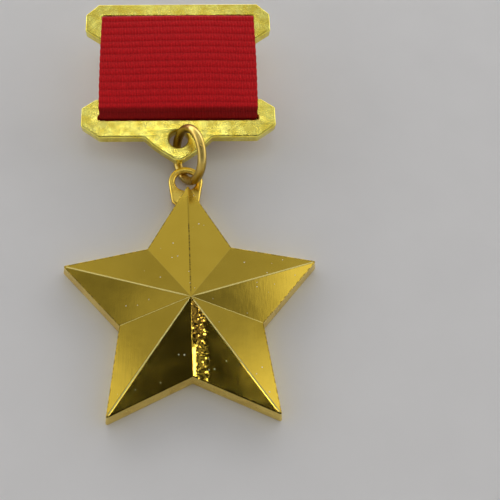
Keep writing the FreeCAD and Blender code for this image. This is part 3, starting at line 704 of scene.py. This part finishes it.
def ribbon_path():
    """The middle line of the wrap, as (up, out) points a short step apart, and their outward normals."""
    low, high, back, front = 2.73, 17.17, -1.72, 1.25
    shoulder, knee = 0.76, 0.08
    corners = [(low, knee), (low + shoulder, front), (high - shoulder, front), (high, knee)]
    corners += [(high, back), (low, back)]
    path = rounded_corners(corners, [0.5, 0.22, 0.22, 0.5, 0.22, 0.22], 8)
    path = np.array(path + [path[0]])
    lengths = np.concatenate([[0], np.cumsum(np.linalg.norm(np.diff(path, axis=0), axis=1))])
    total = lengths[-1]
    count = int(total / STEP)
    at = np.linspace(0, total, count, endpoint=False)
    line = np.column_stack([np.interp(at, lengths, path[:, k]) for k in (0, 1)])
    tangent = np.roll(line, -1, 0) - np.roll(line, 1, 0)
    tangent /= np.linalg.norm(tangent, axis=1)[:, None]
    normal = np.column_stack([-tangent[:, 1], tangent[:, 0]])
    return at, total, line, normal


def wander(values, size, strength, seed):
    """Smooth noise along values, for threads that aren't quite straight."""
    draw = np.random.default_rng(seed)
    out = np.zeros_like(values, dtype=float)
    for octave in range(3):
        phase, turn = draw.uniform(0, 2 * math.pi, 2)
        out += np.sin(values * 2 * math.pi / (size / 1.9**octave) + phase) * math.cos(turn) / 1.6**octave
    return out * strength


def make_ribbon():
    """The band's outer and inner skins, joined along both edges, with ribs that wander a little."""
    at, total, line, normal = ribbon_path()
    ribs = round(total / RIB_PITCH)
    across = np.linspace(-1, 1, COLUMNS)
    rows, shade, fold_shade = [], [], []
    for layer in (1, -1):
        for i, along in enumerate(at):
            bow = wander(across, 2.6, 0.035, 11) + wander(across * 3 + along * 0.13, 2.2, 0.015, 5)
            phase = (along + bow) / total * ribs
            phase = phase + 0.06 * np.sin(2 * math.pi * phase / 3.7 + 1.3)
            crown = np.abs(np.sin(math.pi * phase)) ** 0.75
            if layer > 0:
                cord = CORD_TWIST * np.sin(2 * math.pi * (across * RIBBON_HALF / CORD_PITCH + 0.35 * phase))
                height = HALF_RIBBON + RIB_DEPTH * (crown - 0.5) + cord * crown
            else:
                height = HALF_RIBBON + BACK_RIBS * RIB_DEPTH * (crown - 0.5)
            front = max(0.0, normal[i][1])
            fade = math.sin(math.pi * min(1, max(0, (line[i][0] - FRONT_LOW) / FRONT_RUN)))
            puff = PUFF * front * (1 - across**2) * max(fade, 0) ** 0.5
            spread = RIBBON_HALF - 0.03 + 0.035 * abs(math.sin(math.pi * along / total * ribs))
            spread += BULGE * fade * front
            # Where the band turns at its top and bottom edges: painted dark as shade.
            fold_darkness = np.clip(abs(normal[i][0]) * 2 - 0.5, 0, 1) * (line[i][1] > -0.6)
            offset = layer * height + puff
            up = line[i][0] + normal[i][0] * offset
            out = line[i][1] + normal[i][1] * offset
            rows.append(np.column_stack([across * spread, up, out]))
            shade.append(crown)
            fold_shade.append(np.full(COLUMNS, fold_darkness))
    n, count = len(at), COLUMNS
    points = np.concatenate(rows)
    faces = []
    for layer in range(2):
        for i in range(n):
            here = (layer * n + i) * count
            there = (layer * n + (i + 1) % n) * count
            for k in range(count - 1):
                quad = (here + k, here + k + 1, there + k + 1, there + k)
                faces.append(quad if layer == 0 else quad[::-1])
    for k in (0, count - 1):
        for i in range(n):
            j = (i + 1) % n
            quad = (i * count + k, j * count + k, n * count + j * count + k, n * count + i * count + k)
            faces.append(quad if k == 0 else quad[::-1])
    ribbon = mesh_piece("ribbon_band", points, faces, BAR)
    for name, values in (("rib", shade), ("fold_shade", fold_shade)):
        store(ribbon, name, np.concatenate(values))
    face_out(ribbon)
    ribbon.data.materials.append(RIBBON)
    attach(ribbon, "bar")
    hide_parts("ribbon")


make_ribbon()


# ------------------------------------------------------------------ the back and the core
# Each CAD node, its piece, the rounding of its edges, its material, body and slot
for node, name, width, material, body, slot in [
    ("backing_plate", "back_plate", 0.08, BACK, "bar", "back_gold"),
    ("pin_bar", "brooch_strip", 0.08, BRASS, "bar", "pin_metal"),
    ("frame_rivet_left", "rivet_left", 0.12, BRASS, "bar", "rivet_brass"),
    ("frame_rivet_right", "rivet_right", 0.12, BRASS, "bar", "rivet_brass"),
    ("hinge_rivet", "hinge_pin", 0.06, BRASS, "bar", "rivet_brass"),
    ("catch_case", "catch_drum", 0.05, BRASS, "bar", "catch_metal"),
    ("catch_lock", "catch_sleeve", 0.06, BRASS, "lock", "lock_metal"),
    ("pin_needle", "needle_wire", 0.03, STEEL, "needle", "needle_steel"),
    ("ribbon_core", "core_plate", 0.05, BRASS, "bar", "core_brass"),
]:
    piece = cad_copy(node, name, width)
    piece.data.materials.append(material)
    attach(piece, body)
    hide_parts(node)


# ------------------------------------------------------------------ floor, light, camera
def make_floor():
    """A pale table, with brown painted shade in the nooks under the medal."""
    size = 1.5
    mesh = bpy.data.meshes.new("floor")
    corners = [(-size, -size, 0), (size, -size, 0), (size, size, 0), (-size, size, 0)]
    mesh.from_pydata(corners, [], [(0, 1, 2, 3)])
    floor = link("floor", mesh)
    material, tree, shader = new_material("pale_table")
    place = add(tree, "ShaderNodeTexCoord")
    mottle = noise(tree, place, 9.0, 3)
    pale = ramp(tree, mottle, (0.3, (0.825, 0.82, 0.82)), (0.7, (0.85, 0.845, 0.845)))
    # Painted shade: the floor turns brown where it is hemmed in, standing for contact shadow and the warm light
    # bounced off the gold.
    nook_shade = add(tree, "ShaderNodeAmbientOcclusion", samples=12, in_Distance=3.5 * MM)
    unshaded_share = span(tree, nook_shade.outputs["AO"], 0.12, 0.5, 0.0, 1.0)
    tree.links.new(mix_colours(tree, unshaded_share, (0.20, 0.11, 0.04), pale), shader.inputs["Base Color"])
    shader.inputs["Roughness"].default_value = 0.55
    floor.data.materials.append(material)


make_floor()


# Strengths of the dome and the wall, behind and in front
DOME, DOME_FRONT, WALL_LIGHT, WALL_FRONT = 0.27, 0.18, 2.4, 0.5
# Round patches of the surroundings: direction, inner and outer radius in degrees, added strength
SOFT_BOXES = [
    ((0.0, 0.25, 0.968), 6, 17, 0.50),
    ((0.0, 0.527, 0.85), 2, 5, 0.9),
    ((0.62, 0.16, 0.77), 8, 15, 0.52),
    ((-0.62, 0.22, 0.75), 7, 11, 0.40),
    ((0.36, 0.64, 0.68), 5, 16, 0.10),
    ((-0.36, 0.64, 0.68), 5, 16, 0.13),
    ((0.33, 0.07, 0.94), 4, 9, -0.14),
    ((-0.42, 0.08, 0.905), 3, 7, -0.12),
    ((-0.37, 0.04, 0.93), 1, 4, 0.16),
]
LAMPS = [((-0.02, 0.21, 0.977), 1.5, 4, 4.0), ((0.0, -0.13, 0.991), 2.0, 3.6, 6.0)]
HOOD, HOOD_INNER, HOOD_OUTER, HOOD_SHADE = (0, -0.14, 0.99), 15, 19, 0.07  # a dark patch overhead


def make_light():
    """A dim soft dome over a low wall that is brighter behind, with soft boxes, lamps and a dark hood."""
    world = bpy.data.worlds.new("studio")
    world.use_nodes = True
    bpy.context.scene.world = world
    tree = world.node_tree
    back = tree.nodes["Background"]
    place = add(tree, "ShaderNodeTexCoord")

    def along(direction):
        near = add(tree, "ShaderNodeVectorMath", operation="DOT_PRODUCT")
        near.inputs[1].default_value = Vector(direction).normalized()
        tree.links.new(place.outputs["Generated"], near.inputs[0])
        return near.outputs["Value"]

    def patch(direction, inner, outer, inside, outside):
        """A round soft-edged patch of the surroundings, in degrees from a direction."""
        edge = add(tree, "ShaderNodeMapRange", interpolation_type="SMOOTHSTEP")
        edge.inputs["From Min"].default_value = math.cos(math.radians(outer))
        edge.inputs["From Max"].default_value = math.cos(math.radians(inner))
        edge.inputs["To Min"].default_value = outside
        edge.inputs["To Max"].default_value = inside
        tree.links.new(along(direction), edge.inputs["Value"])
        return edge.outputs["Result"]

    dome = span(tree, along((0, 1, 0)), -0.5, -0.1, DOME_FRONT, DOME)
    wall = span(tree, along((0, 1, 0)), -0.7, 0.75, WALL_FRONT, WALL_LIGHT)
    glow = math_node(tree, "ADD", dome, math_node(tree, "MULTIPLY", wall, patch((0, 0, 1), 57, 72, 0, 1)))
    for direction, inner, outer, extra in SOFT_BOXES:
        glow = math_node(tree, "ADD", glow, patch(direction, inner, outer, extra, 0.0))
    glow = math_node(tree, "MULTIPLY", glow, patch(HOOD, HOOD_INNER, HOOD_OUTER, HOOD_SHADE, 1.0))
    for direction, inner, outer, extra in LAMPS:
        glow = math_node(tree, "ADD", glow, patch(direction, inner, outer, extra, 0.0))
    tree.links.new(glow, back.inputs["Strength"])
    back.inputs["Color"].default_value = (1.0, 0.99, 0.985, 1)
    bpy.context.scene.view_settings.view_transform = "Standard"


make_light()


LENS, SHIFT = 47.09, (0.13, -0.10)
EYE = (-0.924, -26.681, 69.120)  # from the star's centre
FORWARD, RIGHT = (0.00504, 0.50875, -0.86090), (0.99997, -0.00824, 0.00099)


def make_camera():
    """The view: from in front and above, about 60 degrees down, with a small shift."""
    data = bpy.data.cameras.new("camera")
    data.sensor_width = 36
    data.lens = LENS
    data.shift_x, data.shift_y = SHIFT
    data.clip_start = 0.001
    camera = bpy.data.objects.new("camera", data)
    bpy.context.scene.collection.objects.link(camera)
    forward = Vector(FORWARD).normalized()
    right = Vector(RIGHT).normalized()
    up = right.cross(forward).normalized()
    turn = Matrix((right, up, -forward)).transposed()
    eye = star_centre + Vector(EYE) * MM
    camera.matrix_world = Matrix.Translation(eye) @ turn.to_4x4()
    bpy.context.scene.camera = camera


make_camera()
